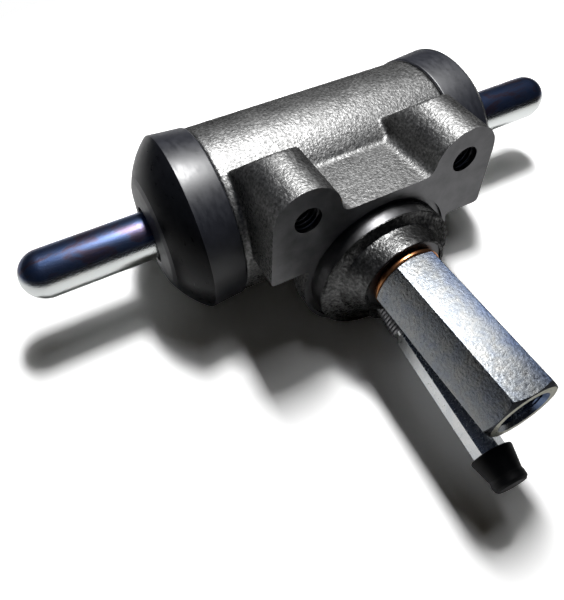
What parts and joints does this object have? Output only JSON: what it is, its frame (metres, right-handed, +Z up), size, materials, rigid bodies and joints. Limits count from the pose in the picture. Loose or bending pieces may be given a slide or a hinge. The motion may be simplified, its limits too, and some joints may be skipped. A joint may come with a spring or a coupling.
{
  "type": "wheel cylinder",
  "caption": "Cast double-ended hydraulic wheel cylinder with bolt lugs and pilot spigot, rubber boots, sliding push rods, long hexagon inlet adapter and capped bleed screw.",
  "frame": {"origin": "on the axis of the pilot spigot, in the plane of the mounting face", "axes": "+X along the cylinder bore towards the right-hand push rod, -Y out of the mounting face towards the inlet adapter, +Z up towards the bolt lugs"},
  "size_m": [0.166, 0.1169, 0.0548],
  "materials": {
    "cast_body": "rough sand-cast skin with smooth machined faces",
    "boot_rubber": "satin moulded rubber",
    "zinc_steel": "bright zinc plate with a faint blue tint",
    "piston_alloy": "turned",
    "seal_rubber": "smooth moulded rubber",
    "spring_steel": "plain oiled steel",
    "copper": "soft copper",
    "cap_rubber": "matt moulded rubber"
  },
  "bodies": {
    "housing": {"cylinder_body": "cast_body", "left_boot": "boot_rubber", "right_boot": "boot_rubber", "inlet_adapter": "zinc_steel", "copper_washer": "copper", "return_spring": "spring_steel"},
    "left_piston_group": {"left_piston": "piston_alloy", "left_cup_seal": "seal_rubber", "left_cup_expander": "spring_steel"},
    "right_piston_group": {"right_piston": "piston_alloy", "right_cup_seal": "seal_rubber", "right_cup_expander": "spring_steel"},
    "left_rod": {"left_push_rod": "zinc_steel"},
    "right_rod": {"right_push_rod": "zinc_steel"},
    "bleeder": {"bleeder_screw": "zinc_steel"},
    "cap": {"bleeder_cap": "cap_rubber"}
  },
  "joints": [
    {"name": "left_piston_slide", "type": "slide", "parent": "housing", "child": "left_piston_group", "axis": [-1, 0, 0], "range_m": [0, 0.006]},
    {"name": "right_piston_slide", "type": "slide", "parent": "housing", "child": "right_piston_group", "axis": [1, 0, 0], "range_m": [0, 0.006]},
    {"name": "left_rod_rock", "type": "hinge", "parent": "left_piston_group", "child": "left_rod", "pos_m": [-0.0289, 0.0324, 0.0047], "axis": [0, 1, 0], "range_deg": [-2.5, 2.5], "stiffness_Nm_per_rad": 3},
    {"name": "right_rod_rock", "type": "hinge", "parent": "right_piston_group", "child": "right_rod", "pos_m": [0.0289, 0.0324, 0.0047], "axis": [0, 1, 0], "range_deg": [-2.5, 2.5], "stiffness_Nm_per_rad": 3},
    {"name": "bleeder_turn", "type": "hinge", "parent": "housing", "child": "bleeder", "pos_m": [0, 0, -0.0079], "axis": [-0.0715, -0.9969, -0.0314], "range_deg": [0, 270]},
    {"name": "cap_pull", "type": "slide", "parent": "bleeder", "child": "cap", "axis": [-0.0715, -0.9969, -0.0314], "range_m": [0, 0.012]}
  ]
}
